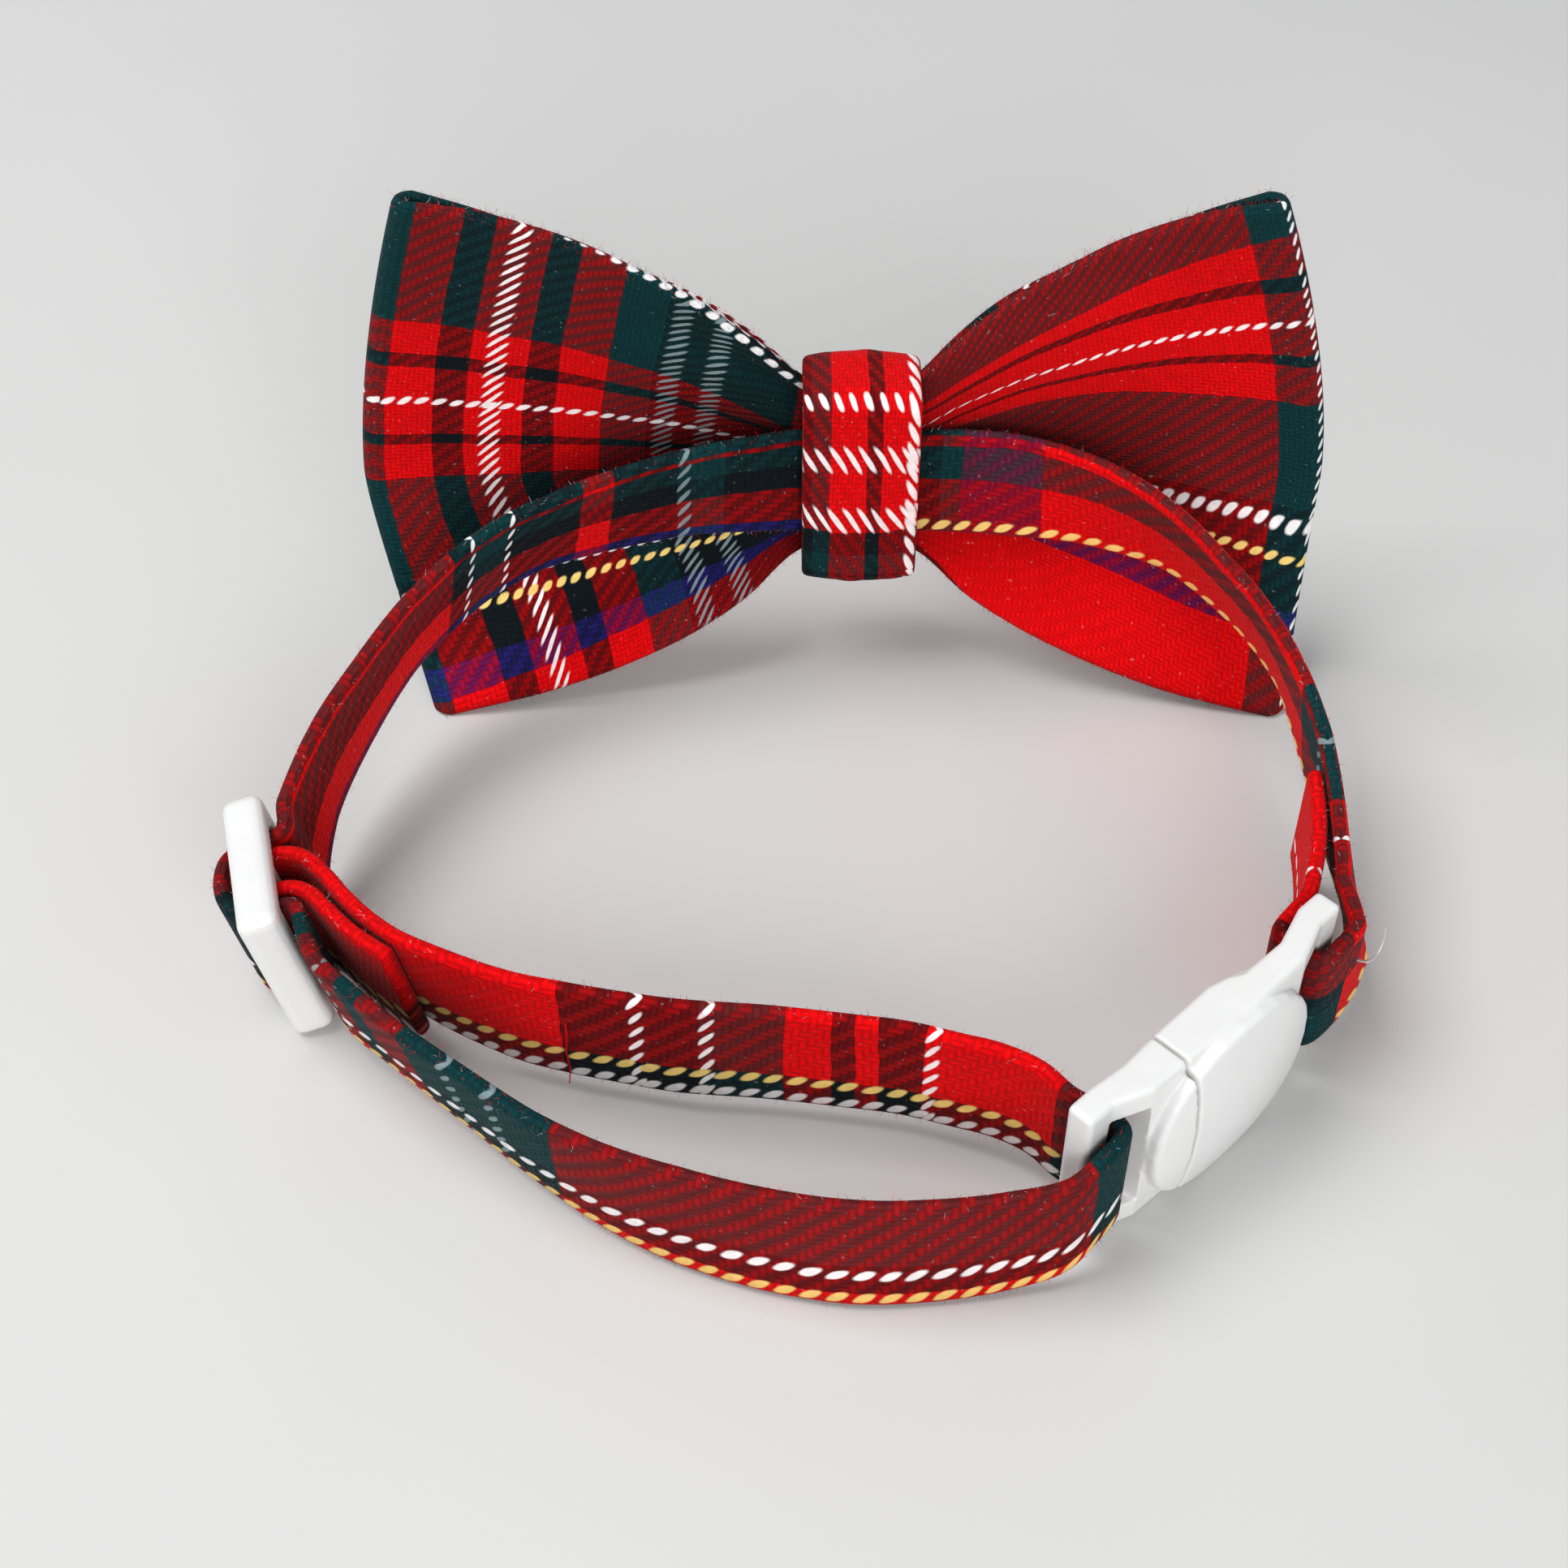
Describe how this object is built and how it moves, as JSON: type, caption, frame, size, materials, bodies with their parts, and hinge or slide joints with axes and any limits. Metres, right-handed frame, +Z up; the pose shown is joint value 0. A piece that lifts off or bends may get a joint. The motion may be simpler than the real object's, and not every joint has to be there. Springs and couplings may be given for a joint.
{
  "type": "pet bow tie collar",
  "caption": "Tartan cloth bow tie on a narrow pet collar, with a strap slider and a fastened side breakaway buckle, laid out as a loop.",
  "frame": {"origin": "middle of the footprint's box, on the surface the collar lies on", "axes": "+X along the bow from the slider's side to the buckle's side, +Y out of the bow's front, +Z up"},
  "size_m": [0.087, 0.0728, 0.0451],
  "materials": {
    "tartan_cloth": "woven twill",
    "white_plastic": "glossy"
  },
  "bodies": {
    "root": {"bow": "tartan_cloth", "knot_band": "tartan_cloth", "collar_strap": "tartan_cloth", "slider": "white_plastic", "buckle_tongue_half": "white_plastic", "buckle_socket_half": "white_plastic"}
  },
  "joints": []
}
